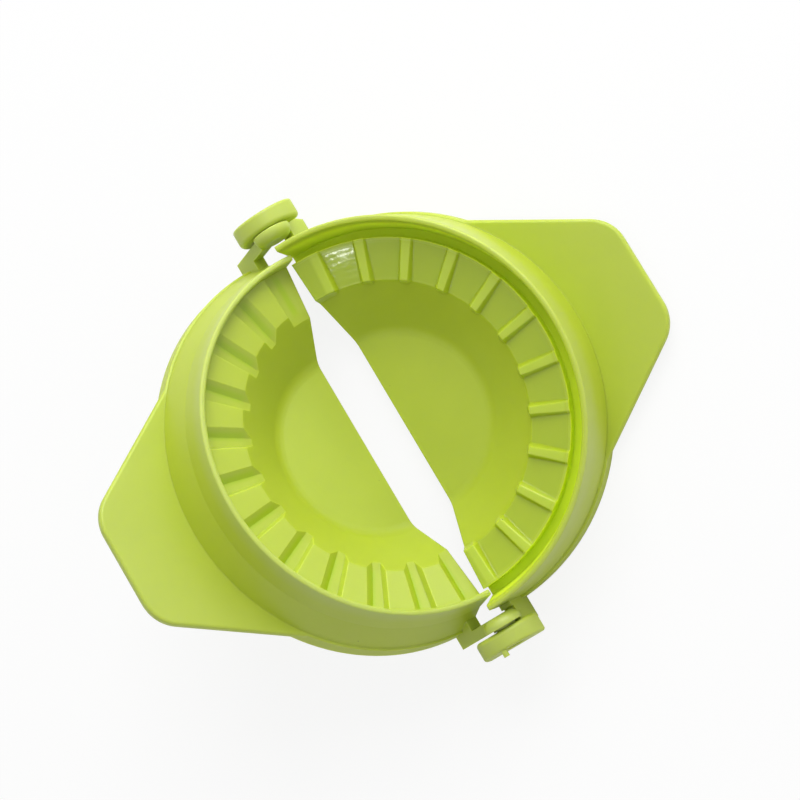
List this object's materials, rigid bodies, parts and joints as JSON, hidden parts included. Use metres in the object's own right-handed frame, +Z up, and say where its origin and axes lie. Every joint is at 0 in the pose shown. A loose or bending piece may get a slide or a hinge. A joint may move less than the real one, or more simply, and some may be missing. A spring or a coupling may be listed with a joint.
{
  "type": "empanada press",
  "caption": "Hinged hand press that folds a dough round over its filling and crimps the rim, with two half-round dies, finger handles and a cutting skirt.",
  "frame": {"origin": "on the surface that the press stands on, under the centre of its box at rest", "axes": "+Z up out of the bowls, +Y along the hinge axis, +X from the hinge out to the base half's handle"},
  "size_m": [0.1151, 0.1082, 0.0518],
  "materials": {
    "green_plastic": "glossy lime green injection-moulded polypropylene"
  },
  "bodies": {
    "base": {"base_half": "green_plastic"},
    "folding": {"folding_half": "green_plastic"}
  },
  "joints": [
    {"name": "fold", "type": "hinge", "parent": "base", "child": "folding", "pos_m": [-0.0043, 0, 0.016], "axis": [0, 1, 0], "range_deg": [-45.7, 134.3]}
  ]
}
